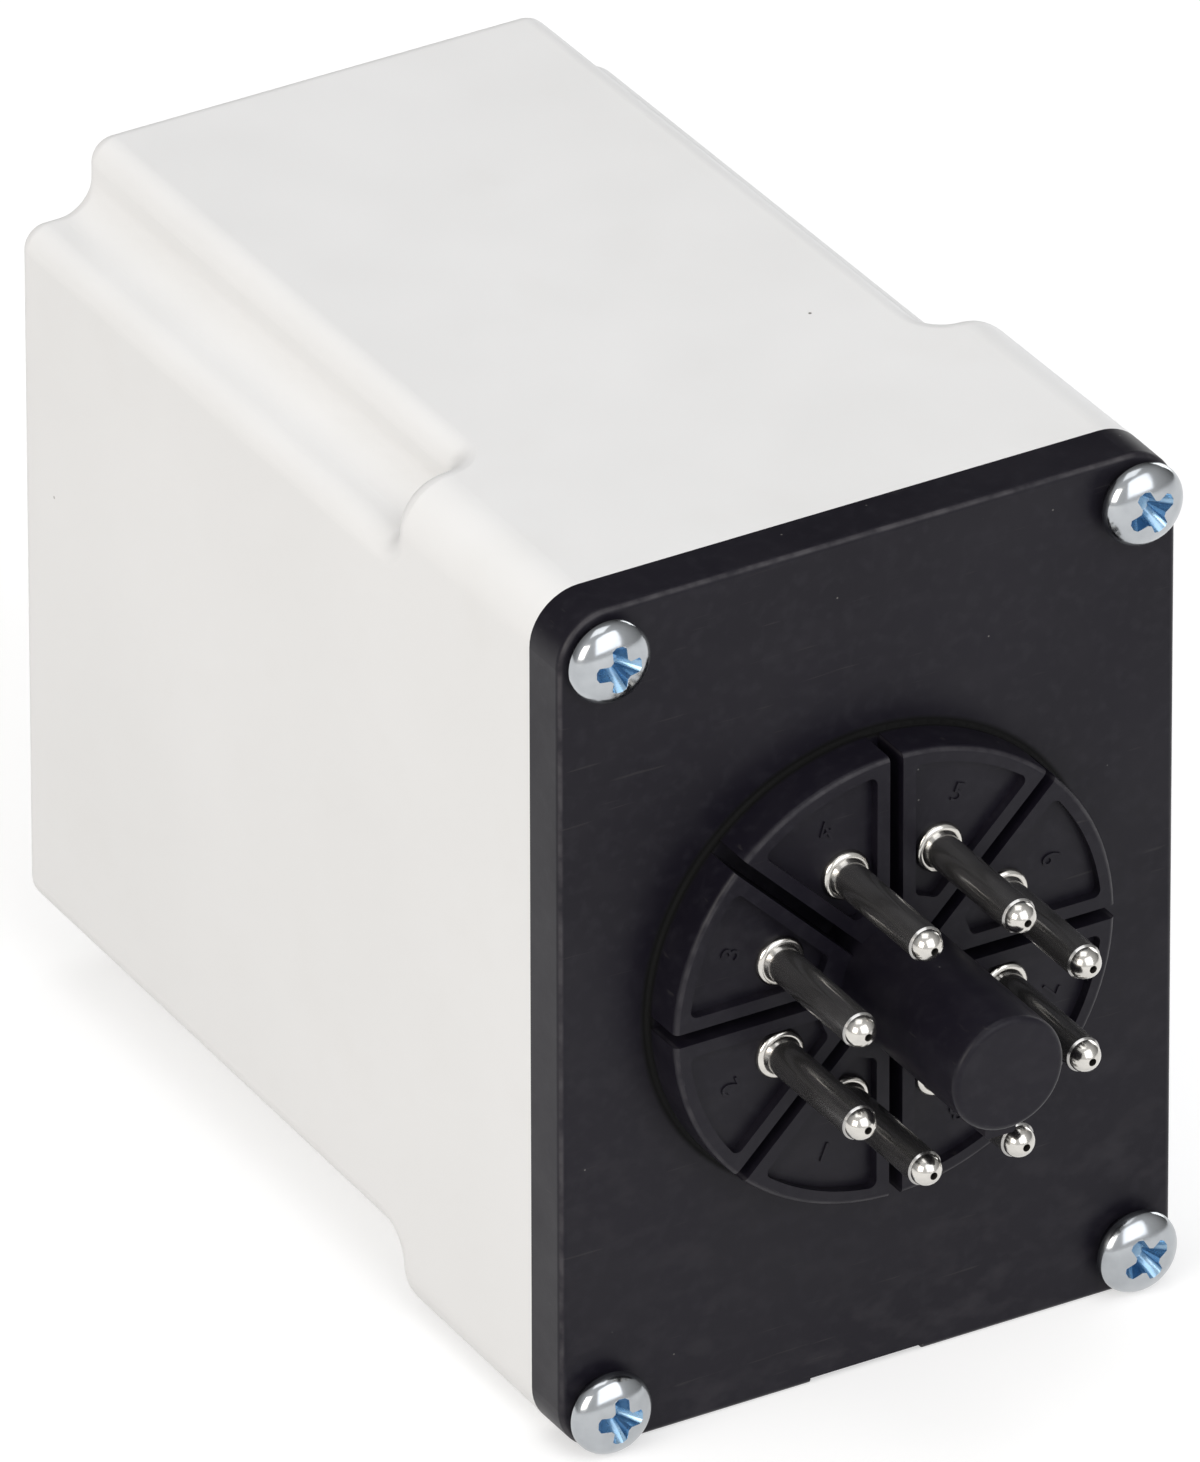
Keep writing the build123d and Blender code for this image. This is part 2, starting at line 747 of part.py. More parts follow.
# Changeover contacts, pole a above and pole b below
for pole, side in (("a", 1), ("b", -1)):
    pole_z = side * pole_pitch / 2
    with BuildPart() as moving_blade:
        with BuildSketch(armature_side(blade_base)):
            with Locations(((blade_start + blade_end) / 2, -pole_z)):
                RectangleRounded(blade_end - blade_start, blade_width, blade_corner)
        extrude(amount=blade_thickness)
        with BuildSketch(armature_side(blade_base - contact_height)):
            with Locations((contact_reach, -pole_z)):
                Circle(contact_radius)
        extrude(amount=blade_thickness + 2 * contact_height)
    moving_blade.part.label = f"moving_blade_{pole}"
    export_step(moving_blade.part, f"parts/moving_blade_{pole}.step")

    # The resting contact lies over the open blade, on a bent strip
    nc_height = blade_top + contact_height + contact_gap
    strip_height = nc_height + contact_height + terminal_thickness / 2
    finger_tip = over_hinge(contact_reach - finger_overhang, strip_height)
    finger_end = over_hinge(hinge_y - nc_leg_y, strip_height)
    bend_x = finger_end[0] + (finger_end[1] - nc_leg_y) * tan(radians(armature_open_angle))
    with BuildPart() as nc_contact:
        with BuildSketch(Plane.XY.offset(pole_z)):
            with BuildLine():
                FilletPolyline(finger_tip, (bend_x, nc_leg_y), (foot_x, nc_leg_y), radius=terminal_bend_radius)
            trace(line_width=terminal_thickness)
        extrude(amount=terminal_width / 2, both=True)
        with BuildSketch(armature_side(nc_height)):
            with Locations((contact_reach, -pole_z)):
                Circle(contact_radius)
        extrude(amount=contact_height)
    nc_contact.part.label = f"nc_contact_{pole}"
    export_step(nc_contact.part, f"parts/nc_contact_{pole}.step")

    # The working contact lies under the blade, level with the closed armature
    no_top = hinge_x + blade_base - contact_height - contact_gap
    no_strip = no_top - contact_height - terminal_thickness / 2
    no_tip_y = hinge_y - contact_reach + finger_overhang
    with BuildPart() as no_contact:
        with BuildSketch(Plane.XY.offset(pole_z)):
            with BuildLine():
                FilletPolyline(
                    (no_strip, no_tip_y), (no_strip, no_leg_y), (foot_x, no_leg_y), radius=terminal_bend_radius
                )
            trace(line_width=terminal_thickness)
        extrude(amount=terminal_width / 2, both=True)
        with BuildSketch(board_side(no_top - contact_height)):
            with Locations((hinge_y - contact_reach, pole_z)):
                Circle(contact_radius)
        extrude(amount=contact_height)
    no_contact.part.label = f"no_contact_{pole}"
    export_step(no_contact.part, f"parts/no_contact_{pole}.step")

    # The common lead ends just over the root of the blade
    lead_tip = over_hinge(blade_start + com_lead_inset, blade_top)
    lead_x = lead_tip[0] + com_lead_gap + com_lead_radius
    with BuildPart() as com_lead:
        with BuildLine() as lead_path:
            FilletPolyline(
                (foot_x, com_lead_y, side * com_lead_z),
                (lead_x, com_lead_y, side * com_lead_z),
                (lead_x, lead_tip[1], pole_z),
                radius=com_lead_bend_radius,
            )
        with BuildSketch(board_side(foot_x)):
            with Locations((com_lead_y, side * com_lead_z)):
                Circle(com_lead_radius)
        sweep(path=lead_path.line)
    com_lead.part.label = f"com_lead_{pole}"
    export_step(com_lead.part, f"parts/com_lead_{pole}.step")

# Return spring, a strip on the yoke's back that hooks over the armature's tail
spring_y = hinge_y + spring_thickness / 2
spring_rear = hinge_y + armature_tail + spring_tail_gap + spring_thickness / 2
hook_x = hinge_x + armature_thickness + running_gap + spring_thickness / 2

with BuildPart() as return_spring:
    with BuildSketch(Plane.XY):
        with BuildLine():
            FilletPolyline(
                (yoke_top - spring_drop - spring_foot, spring_y),
                (yoke_top - spring_drop, spring_y),
                (yoke_top - spring_drop + spring_slant, spring_rear),
                (hook_x, spring_rear),
                (hook_x, spring_rear - spring_hook),
                radius=spring_bend_radius,
            )
        trace(line_width=spring_thickness)
    extrude(amount=spring_width / 2, both=True)
return_spring.part.label = "return_spring"
export_step(return_spring.part, "parts/return_spring.step")

# Selector switch behind the window in the casing's end wall
selector_rear = cavity_end - selector_end_gap
lever_end = casing_rear + lever_proud

with BuildPart() as selector_body:
    with BuildSketch(rear_side(front_board_rear)):
        Rectangle(selector_width, selector_height)
    extrude(amount=selector_rear - front_board_rear)
    fillet(selector_body.edges().filter_by(Axis.Y), selector_corner)
    with BuildSketch(rear_side(front_board_rear + selector_floor)):
        Rectangle(selector_pocket_width, selector_pocket_height)
    extrude(amount=selector_rear - front_board_rear - selector_floor, mode=Mode.SUBTRACT)
    with BuildSketch(board_side(-selector_width / 2)):
        with Locations((pivot_y, 0)):
            Circle(pivot_radius + pivot_clearance)
    extrude(amount=selector_width, mode=Mode.SUBTRACT)
selector_body.part.label = "selector_body"
export_step(selector_body.part, "parts/selector_body.step")

with BuildPart() as selector_pin:
    with BuildSketch(board_side(-selector_width / 2)):
        with Locations((pivot_y, 0)):
            Circle(pivot_radius)
    extrude(amount=selector_width)
selector_pin.part.label = "selector_pin"
export_step(selector_pin.part, "parts/selector_pin.step")

with BuildPart() as selector_lever:
    with BuildSketch(board_side(0)) as lever_outline:
        with Locations((pivot_y, 0)):
            Circle(lever_hub_radius)
        with Locations(((pivot_y + lever_end) / 2, 0)):
            Rectangle(lever_end - pivot_y, lever_thickness)
        with Locations((lever_end - lever_tip_length / 2, 0)):
            Rectangle(lever_tip_length, lever_tip_thickness)
        fillet(lever_outline.vertices().group_by(Axis.X)[-1], lever_tip_radius)
        with Locations((pivot_y - lever_tail_reach / 2, 0)):
            Rectangle(lever_tail_reach, lever_tail_thickness)
        with Locations((pivot_y, 0)):
            Circle(pivot_radius + pivot_clearance, mode=Mode.SUBTRACT)
    extrude(amount=lever_width / 2, both=True)
selector_lever.part.label = "selector_lever"
export_step(selector_lever.part, "parts/selector_lever.step")

# Indicator lamps, standing on the front board behind their holes
for name, side in (("a", 1), ("b", -1)):
    lamp_z = side * lamp_spacing / 2
    dome_y = casing_rear + lamp_proud - lamp_radius
    with BuildPart() as lamp:
        with BuildSketch(rear_side(cavity_end - lamp_flange_height)):
            with Locations((0, lamp_z)):
                Circle(lamp_flange_radius)
        extrude(amount=lamp_flange_height)
        with BuildSketch(rear_side(cavity_end)):
            with Locations((0, lamp_z)):
                Circle(lamp_radius)
        extrude(amount=dome_y - cavity_end)
        with Locations((0, dome_y, lamp_z)):
            Sphere(lamp_radius)
        with BuildSketch(rear_side(front_board_rear)):
            with Locations((0, lamp_z)):
                with GridLocations(2 * lamp_leg_pitch, 0, 2, 1):
                    Rectangle(2 * lamp_leg_half_width, 2 * lamp_leg_half_width)
        extrude(amount=cavity_end - lamp_flange_height - front_board_rear)
    lamp.part.label = f"led_{name}"
    export_step(lamp.part, f"parts/led_{name}.step")

# Electronics on the main board, in the strips between the relay and the rails and behind the relay
strip_z = (relay_base_width / 2 + rail_root - rail_reach) / 2
dropper_height, dropper_length, dropper_width = dropper_size
smoothing_place = (front_board_front - smoothing_to_front_board, strip_z)
dropper_place = (smoothing_place[0] - smoothing_radius - dropper_gap - dropper_length / 2, strip_z)
varistor_place = (front_board_front - varistor_to_front_board, strip_z)
chip_height, chip_length, chip_width = chip_size
diode_start = front_board_front - diode_to_front_board - (diode_count - 1) * diode_pitch
chip_place = (diode_start - chip_gap - chip_length / 2, -strip_z)
resistor_pitch = (front_board_front - relay_base_rear) / resistor_count
transistor_place = ((front_board_front + relay_base_rear) / 2, transistor_z)

with BuildPart() as dropper_capacitor:
    with BuildSketch(board_side(board_face)):
        with Locations(dropper_place):
            RectangleRounded(dropper_length, dropper_width, dropper_corner)
    extrude(amount=dropper_height)
    fillet(dropper_capacitor.faces().sort_by(Axis.X)[-1].edges(), dropper_corner / 2)
dropper_capacitor.part.label = "dropper_capacitor"
export_step(dropper_capacitor.part, "parts/dropper_capacitor.step")

with BuildPart() as smoothing_capacitor:
    with BuildSketch(board_side(board_face)):
        with Locations(smoothing_place):
            Circle(smoothing_radius)
    extrude(amount=smoothing_height)
    fillet(smoothing_capacitor.faces().sort_by(Axis.X)[-1].edges(), smoothing_edge)
smoothing_capacitor.part.label = "smoothing_capacitor"
export_step(smoothing_capacitor.part, "parts/smoothing_capacitor.step")

varistor_y, varistor_z = varistor_place
with BuildPart() as varistor:
    centre_x = board_face + varistor_standoff + varistor_radius
    with BuildSketch(rear_side(varistor_y - varistor_thickness / 2)):
        with Locations((-centre_x, varistor_z)):
            Circle(varistor_radius)
    extrude(amount=varistor_thickness)
    fillet(varistor.edges(), varistor_edge)
    with BuildSketch(board_side(board_face)):
        with Locations(varistor_place):
            with GridLocations(0, varistor_leg_pitch, 1, 2):
                Circle(leg_radius)
    extrude(amount=varistor_standoff + varistor_radius / 2)
varistor.part.label = "varistor"
export_step(varistor.part, "parts/varistor.step")

with BuildPart() as logic_chip:
    with BuildSketch(board_side(board_face + chip_standoff)):
        with Locations(chip_place):
            Rectangle(chip_length, chip_width)
    extrude(amount=chip_height)
    chip_top = logic_chip.faces().sort_by(Axis.X)[-1]
    fillet(chip_top.edges(), chip_edge)
    # Each pin leaves the middle of the side, then drops to the board
    chip_y, chip_z = chip_place
    pin_x = board_face + chip_standoff + chip_height / 2
    pin_out = chip_width / 2 + chip_pin_out
    with BuildSketch(Plane.XZ.offset(-chip_y)) as chip_pins:
        for side in (-1, 1):
            with BuildLine():
                Polyline(
                    (pin_x, chip_z + side * (chip_width / 2 - chip_pin_out)),
                    (pin_x, chip_z + side * pin_out),
                    (board_face, chip_z + side * pin_out),
                )
            trace(line_width=chip_pin_thickness)
    with Locations(*[(0, chip_pin_pitch * (i - (chip_pin_count - 1) / 2), 0) for i in range(chip_pin_count)]):
        extrude(chip_pins.sketch, amount=chip_pin_width / 2, both=True)
logic_chip.part.label = "logic_chip"
export_step(logic_chip.part, "parts/logic_chip.step")


def axial_piece(y, z, radius, length, leg_pitch):
    """A round body lying along Z over the main board, on two legs that bend down to it."""
    axis_x = board_face + axial_height
    with BuildSketch(Plane.XY.offset(z - length / 2)) as body_end:
        with Locations((axis_x, y)):
            Circle(radius)
    extrude(body_end.sketch, amount=length)
    with BuildLine() as legs:
        FilletPolyline(
            (board_face, y, z - leg_pitch / 2),
            (axis_x, y, z - leg_pitch / 2),
            (axis_x, y, z + leg_pitch / 2),
            (board_face, y, z + leg_pitch / 2),
            radius=leg_bend_radius,
        )
    with BuildSketch(board_side(board_face)) as leg_end:
        with Locations((y, z - leg_pitch / 2)):
            Circle(leg_radius)
    sweep(sections=leg_end.sketch, path=legs.line)


for number in range(1, diode_count + 1):
    y = diode_start + (number - 1) * diode_pitch
    with BuildPart() as diode:
        axial_piece(y, -strip_z, diode_radius, diode_length, diode_leg_pitch)
    diode.part.label = f"diode_{number}"
    export_step(diode.part, f"parts/diode_{number}.step")

for number in range(1, resistor_count + 1):
    y = relay_base_rear + (number - 0.5) * resistor_pitch
    with BuildPart() as resistor:
        axial_piece(y, resistor_z, resistor_radius, resistor_length, resistor_leg_pitch)
    resistor.part.label = f"resistor_{number}"
    export_step(resistor.part, f"parts/resistor_{number}.step")

with BuildPart() as driver_transistor:
    with BuildSketch(board_side(board_face + transistor_standoff)):
        with Locations(transistor_place):
            Circle(transistor_radius)
            with Locations((transistor_radius + transistor_flat, 0)):
                Rectangle(2 * transistor_radius, 2 * transistor_radius, mode=Mode.SUBTRACT)
    extrude(amount=transistor_height)
    with BuildSketch(board_side(board_face)):
        with Locations(transistor_place):
            with GridLocations(0, transistor_leg_pitch, 1, 3):
                Circle(leg_radius)
    extrude(amount=transistor_standoff)
driver_transistor.part.label = "driver_transistor"
export_step(driver_transistor.part, "parts/driver_transistor.step")
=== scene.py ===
import json
from math import atan2, cos, pi, radians, sin

import bmesh
import bpy
from mathutils import Matrix, Vector


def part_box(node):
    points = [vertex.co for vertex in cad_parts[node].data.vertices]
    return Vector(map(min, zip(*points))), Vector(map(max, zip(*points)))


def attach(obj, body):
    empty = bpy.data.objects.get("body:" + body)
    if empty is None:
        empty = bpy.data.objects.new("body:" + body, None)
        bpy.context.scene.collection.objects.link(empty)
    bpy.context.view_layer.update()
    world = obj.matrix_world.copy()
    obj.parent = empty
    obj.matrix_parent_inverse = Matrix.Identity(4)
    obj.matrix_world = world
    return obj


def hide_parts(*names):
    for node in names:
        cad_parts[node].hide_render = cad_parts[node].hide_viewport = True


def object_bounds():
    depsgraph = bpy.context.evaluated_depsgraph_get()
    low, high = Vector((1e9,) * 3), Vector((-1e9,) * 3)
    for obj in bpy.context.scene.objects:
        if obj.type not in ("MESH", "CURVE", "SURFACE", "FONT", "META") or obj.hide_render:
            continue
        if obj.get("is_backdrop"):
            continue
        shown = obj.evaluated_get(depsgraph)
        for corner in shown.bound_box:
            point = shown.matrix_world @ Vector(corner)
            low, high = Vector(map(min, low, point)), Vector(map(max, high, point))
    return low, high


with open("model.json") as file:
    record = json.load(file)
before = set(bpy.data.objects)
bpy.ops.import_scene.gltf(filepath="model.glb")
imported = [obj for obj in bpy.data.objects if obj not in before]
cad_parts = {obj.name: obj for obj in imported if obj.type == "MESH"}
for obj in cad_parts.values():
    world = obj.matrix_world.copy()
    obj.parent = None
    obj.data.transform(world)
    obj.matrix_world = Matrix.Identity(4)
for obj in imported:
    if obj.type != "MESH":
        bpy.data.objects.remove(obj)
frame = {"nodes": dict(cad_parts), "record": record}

# The alternating relay, dressed: materials, finer screws, pin numbers, floor, light and camera.
# Lengths are in millimetres, except those of lamps, world and camera, which are in metres.
MM = 0.001
cad_low, cad_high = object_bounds()
nodes = frame["nodes"]

# Places on the part. The plug points to -Y, and its axis is X = Z = 0
PLATE_FRONT = 3.4
POCKET_FLOOR = 0.7
DISC_RADIUS = 15.85
SHAFT_START, SHAFT_END = -9.25, 0.0
PIN_NUMBERS = range(1, 9)
SOLID_HEAD_RADIUS = 2.75
screws_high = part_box("base_screws")[1] / MM
SCREW_X = screws_high.x - SOLID_HEAD_RADIUS
SCREW_Z = screws_high.z - SOLID_HEAD_RADIUS

# Values between which most of a noise lies, and a narrower pair for more contrast
NOISE_RANGE = (0.3, 0.7)
NARROW_RANGE = (0.35, 0.65)


# Node helpers
def add_node(tree, kind, inputs=None, **settings):
    """A shader node with its settings made and its inputs set or linked."""
    made = tree.nodes.new("ShaderNode" + kind)
    for key, value in settings.items():
        setattr(made, key, value)
    for key, value in (inputs or {}).items():
        if isinstance(value, bpy.types.NodeSocket):
            tree.links.new(value, made.inputs[key])
        else:
            made.inputs[key].default_value = value
    return made


def link(tree, value, socket):
    tree.links.new(value, socket)


def millimetres(tree, stretch=(1, 1, 1)):
    """The place on the object in millimetres, with each axis stretched for streaks."""
    place = add_node(tree, "TexCoord").outputs["Object"]
    scale = tuple(1 / MM * part for part in stretch)
    return add_node(tree, "VectorMath", {0: place, 1: scale}, operation="MULTIPLY").outputs[0]


def axes(tree):
    """The place on the object in millimetres, as sockets X, Y and Z."""
    return add_node(tree, "SeparateXYZ", {0: millimetres(tree)}).outputs


def noise(tree, per_mm, detail=2.0, stretch=(1, 1, 1)):
    inputs = {"Vector": millimetres(tree, stretch), "Scale": per_mm, "Detail": detail}
    return add_node(tree, "TexNoise", inputs).outputs["Fac"]


def waves(tree, per_mm, direction, distortion=0.0):
    inputs = {"Vector": millimetres(tree), "Scale": per_mm, "Distortion": distortion}
    return add_node(tree, "TexWave", inputs, bands_direction=direction).outputs["Fac"]


def remap(tree, value, low, high, to_low=0.0, to_high=1.0):
    inputs = {"Value": value, "From Min": low, "From Max": high,
              "To Min": to_low, "To Max": to_high}
    return add_node(tree, "MapRange", inputs).outputs["Result"]


def maths(tree, operation, first, second=0.0):
    return add_node(tree, "Math", {0: first, 1: second}, operation=operation).outputs[0]


def mix(tree, factor, first, second):
    """A colour between two colours, which are sockets or (red, green, blue)."""
    colours = [c if isinstance(c, bpy.types.NodeSocket) else (*c, 1) for c in (first, second)]
    made = add_node(tree, "Mix", {0: factor, 6: colours[0], 7: colours[1]}, data_type="RGBA")
    return made.outputs[2]


# Masks, from 0 to 1
def marks(tree, per_mm, detail, span, most=1.0, least=0.0, stretch=(1, 1, 1)):
    """Marks where a noise is high: they start at the first value of span, full at the second."""
    return remap(tree, noise(tree, per_mm, detail, stretch), *span, least, most)


def band(tree, value, rise, fall, most=1.0):
    """A mask between two limits. Each limit says where the mask is 0 and where it is full."""
    rising, falling = remap(tree, value, *rise), remap(tree, value, *fall, 0.0, most)
    return maths(tree, "MULTIPLY", rising, falling)


def away_from(tree, value, place):
    """How far a value is from a place, to either side."""
    return maths(tree, "ABSOLUTE", maths(tree, "SUBTRACT", value, place))


def near_point(tree, point, radius, solid_share=0.6):
    """Full within a share of the radius round a point, fading to 0 at the radius."""
    inputs = {0: millimetres(tree), 1: point}
    gap = add_node(tree, "VectorMath", inputs, operation="DISTANCE").outputs["Value"]
    return remap(tree, gap, radius, radius * solid_share)


# Materials
def surface(name, colour, roughness, metallic=0.0, **shader):
    """A material with its shader. A colour or a roughness that varies is linked afterwards."""
    material = bpy.data.materials.new(name)
    material.use_nodes = True
    tree = material.node_tree
    bsdf = tree.nodes["Principled BSDF"]
    bsdf.inputs["Base Color"].default_value = (*colour, 1)
    bsdf.inputs["Roughness"].default_value = roughness
    bsdf.inputs["Metallic"].default_value = metallic
    for key, value in shader.items():
        bsdf.inputs[key.replace("_", " ")].default_value = value
    material.diffuse_color = (*colour, 1)
    return material, tree, bsdf


def add_bump(tree, bsdf, height, strength, depth):
    inputs = {"Height": height, "Strength": strength, "Distance": depth * MM}
    link(tree, add_node(tree, "Bump", inputs).outputs["Normal"], bsdf.inputs["Normal"])


def linked_to(bsdf, name):
    """The socket that an input of the shader takes its value from."""
    return bsdf.inputs[name].links[0].from_socket


def lay_over(tree, bsdf, layers):
    """Lays colours over the surface's own, one after another, each through its mask."""
    colour = linked_to(bsdf, "Base Color")
    for mask, tone in layers:
        colour = mix(tree, mask, colour, tone)
    link(tree, colour, bsdf.inputs["Base Color"])


def roughen(tree, bsdf, mask, amount):
    """Adds an amount to the roughness where the mask is full."""
    added = maths(tree, "MULTIPLY", mask, amount)
    roughness = maths(tree, "ADD", linked_to(bsdf, "Roughness"), added)
    link(tree, roughness, bsdf.inputs["Roughness"])


def moulded(name, colour, other, roughness, bump=0.1, grain=3.0, patch=0.05, **shader):
    """Moulded plastic: two near tones in patches, a fine grain and a gloss that wanders."""
    material, tree, bsdf = surface(name, colour, roughness, **shader)
    tone = remap(tree, noise(tree, patch), *NARROW_RANGE)
    link(tree, mix(tree, tone, colour, other), bsdf.inputs["Base Color"])
    gloss = remap(tree, noise(tree, patch * 4), *NOISE_RANGE, roughness - 0.04, roughness + 0.05)
    link(tree, gloss, bsdf.inputs["Roughness"])
    add_bump(tree, bsdf, noise(tree, grain, detail=3), bump, depth=0.02)
    return material, tree, bsdf


def plated(name, colour, other, roughness, stretch=(1, 1, 1), grain=1.5, bump=0.05):
    """Plated metal: a slight change of tone, fine drawing lines and a gloss that follows them."""
    material, tree, bsdf = surface(name, colour, roughness, metallic=1.0)
    lines = noise(tree, grain, detail=4, stretch=stretch)
    tone = remap(tree, lines, *NOISE_RANGE)
    link(tree, mix(tree, tone, colour, other), bsdf.inputs["Base Color"])
    gloss = remap(tree, lines, *NOISE_RANGE, roughness - 0.03, roughness + 0.06)
    link(tree, gloss, bsdf.inputs["Roughness"])
    add_bump(tree, bsdf, lines, bump, depth=0.01)
    return material, tree, bsdf


# White casing, with a faint handling haze, a dark speck on top and a fainter one on the side
SPECKS = (
    ((10.9, 29.0, 29.87), (0.12, 0.11, 0.10)),
    ((-21.46, 67.8, 6.8), (0.42, 0.41, 0.40)),
)
SPECK_RADIUS = 0.13
white, tree, bsdf = moulded("white_shell", (0.785, 0.784, 0.780), (0.805, 0.804, 0.802),
                            roughness=0.42, bump=0.06, grain=2.5)
haze = marks(tree, per_mm=0.12, detail=5, span=(0.56, 0.8), most=0.25)
specks = [(near_point(tree, point, SPECK_RADIUS), tone) for point, tone in SPECKS]
lay_over(tree, bsdf, [(haze, (0.74, 0.73, 0.71)), *specks])

# Black moulding: a deep black with smears that gather low on the plate, blotches, mottle, scratches
# and dust, a painted highlight lightening the edges to grey with wear, and painted shade in the
# corner round the foot of the disc
black, tree, bsdf = moulded("black_moulding", (0.0058, 0.0049, 0.0088), (0.0078, 0.0067, 0.0114),
                            roughness=0.39, bump=0.14, grain=4, Specular_IOR_Level=0.18)
place = axes(tree)
low_down = remap(tree, place["Z"], 12, -28, 0.15, 1.0)
smears = marks(tree, per_mm=0.3, detail=8, span=(0.50, 0.74), stretch=(1, 1, 1.6))
blotches = marks(tree, per_mm=0.09, detail=3, span=(0.45, 0.70), most=0.7)
mottle = marks(tree, per_mm=1.1, detail=6, span=(0.50, 0.72), most=0.6)
scratches = marks(tree, per_mm=0.5, detail=2, span=(0.70, 0.76), most=0.3, stretch=(0.35, 1, 6))

dots = add_node(tree, "TexVoronoi", {"Vector": millimetres(tree), "Scale": 0.45}).outputs
dot_number = add_node(tree, "SeparateColor", {0: dots["Color"]}).outputs[0]
rare = remap(tree, dot_number, 0.66, 0.68)
small = remap(tree, dots["Distance"], 0.035, 0.015)

across = add_node(tree, "CombineXYZ", {"X": place["X"], "Z": place["Z"]}).outputs[0]
off_axis = add_node(tree, "VectorMath", {0: across}, operation="LENGTH").outputs["Value"]
# Painted highlight: the plate's front edge and the disc's rim are lightened to grey, broken up by
# wear
plate_edge_highlight_and_wear = band(tree, place["Y"], rise=(PLATE_FRONT + 0.02, PLATE_FRONT + 0.08),
                  fall=(PLATE_FRONT + 0.30, PLATE_FRONT + 0.20))
disc_rim_highlight_and_wear = band(tree, off_axis, rise=(DISC_RADIUS - 0.34, DISC_RADIUS - 0.26),
                 fall=(DISC_RADIUS - 0.04, DISC_RADIUS - 0.12), most=0.6)
rubbed = marks(tree, per_mm=0.7, detail=6, span=(0.36, 0.62), most=0.9, least=0.15)

# Painted shade: the corner round the foot of the disc is darkened in colour and made rougher
off_rim = away_from(tree, off_axis, DISC_RADIUS + 0.1)
disc_foot_painted_shade = maths(tree, "MULTIPLY", remap(tree, off_rim, 0.5, 0.2),
                  remap(tree, place["Y"], PLATE_FRONT - 0.6, PLATE_FRONT - 0.3))

lay_over(tree, bsdf, [
    (maths(tree, "MULTIPLY", smears, low_down), (0.022, 0.020, 0.025)),
    (blotches, (0.010, 0.009, 0.013)),
    (mottle, (0.014, 0.013, 0.018)),
    (scratches, (0.045, 0.042, 0.042)),
    (maths(tree, "MULTIPLY", rare, small), (0.14, 0.135, 0.13)),
    # painted highlight on the edges, with wear
    (maths(tree, "MULTIPLY", maths(tree, "MAXIMUM", plate_edge_highlight_and_wear, disc_rim_highlight_and_wear), rubbed),
     (0.050, 0.047, 0.052)),
    # painted shade at the foot of the disc
    (disc_foot_painted_shade, (0.0008, 0.0008, 0.0008)),
])
roughen(tree, bsdf, disc_foot_painted_shade, 0.4)

# Nickel pins: bright at the tip and the collar, and dulled to grey along the shaft by their socket
nickel, tree, bsdf = plated("nickel", (0.66, 0.64, 0.60), (0.56, 0.545, 0.515),
                            roughness=0.17, stretch=(1.5, 0.5, 1.5), grain=0.8, bump=0.02)
on_shaft = band(tree, axes(tree)["Y"], rise=(SHAFT_START - 0.05, SHAFT_START + 0.15),
                fall=(SHAFT_END + 0.1, SHAFT_END - 0.1))
rubbed = marks(tree, per_mm=0.5, detail=3, span=NARROW_RANGE, least=0.85, stretch=(1, 0.4, 1))
dulled = maths(tree, "MULTIPLY", on_shaft, rubbed)
link(tree, remap(tree, dulled, 0, 1, 1.0, 0.94), bsdf.inputs["Metallic"])
lay_over(tree, bsdf, [(dulled, (0.36, 0.355, 0.35))])
roughen(tree, bsdf, dulled, 0.01)
# Painted shade for the inside of the pins' tip holes
hole_shadow = surface("hole_shadow", (0.02, 0.018, 0.016), roughness=0.6)[0]

# Zinc screws: a bluish plating that shows more in the recess
zinc = plated("zinc", (0.46, 0.48, 0.50), (0.40, 0.42, 0.44), roughness=0.15, grain=0.8)[0]
zinc_recess = plated("zinc_recess", (0.22, 0.37, 0.52), (0.32, 0.46, 0.60),
                     roughness=0.26, grain=1.2)[0]

# Plain parts inside and behind: colour, second colour, roughness, then the bump of a plastic
# or the stretch of a metal's drawing lines
PLASTICS = {
    "wire_sleeve": ((0.42, 0.03, 0.02), (0.46, 0.035, 0.025), 0.35),
    "relay_moulding": ((0.02, 0.02, 0.022), (0.026, 0.026, 0.028), 0.45),
    "bobbin": ((0.62, 0.56, 0.42), (0.66, 0.60, 0.46), 0.45),
    "black_plastic": ((0.018, 0.018, 0.02), (0.024, 0.024, 0.026), 0.38),
    "lamp": ((0.45, 0.02, 0.015), (0.50, 0.03, 0.02), 0.15, 0.02),
    "film_case": ((0.36, 0.05, 0.03), (0.40, 0.06, 0.035), 0.28),
    "can_sleeve": ((0.02, 0.03, 0.11), (0.025, 0.035, 0.13), 0.30),
}
METALS = {
    "steel": ((0.52, 0.52, 0.50), (0.46, 0.46, 0.45), 0.30, (0.4, 3, 3)),
    "contact_metal": ((0.75, 0.58, 0.34), (0.68, 0.52, 0.30), 0.25, (1, 0.4, 4)),
    "spring_steel": ((0.60, 0.60, 0.58), (0.55, 0.55, 0.54), 0.22, (0.4, 3, 3)),
}
looks = {"white_shell": white, "black_moulding": black, "nickel": nickel, "zinc": zinc}
for name, values in PLASTICS.items():
    looks[name] = moulded(name, *values)[0]
for name, values in METALS.items():
    looks[name] = plated(name, *values)[0]

# Board laminate: glass weave under a green lacquer
looks["board"], tree, bsdf = moulded("board", (0.022, 0.10, 0.035), (0.028, 0.12, 0.04),
                                     roughness=0.32, grain=1.2)
weave = waves(tree, per_mm=0.9, direction="Z", distortion=0.4)
add_bump(tree, bsdf, weave, strength=0.15, depth=0.01)

# Winding: fine rings of enamelled wire round the coil
looks["winding"], tree, bsdf = surface("winding", (0.45, 0.12, 0.04), roughness=0.28, metallic=0.8)
rings = waves(tree, per_mm=1.6, direction="X")
link(tree, mix(tree, rings, (0.30, 0.07, 0.02), (0.52, 0.16, 0.06)), bsdf.inputs["Base Color"])
add_bump(tree, bsdf, rings, strength=0.6, depth=0.05)

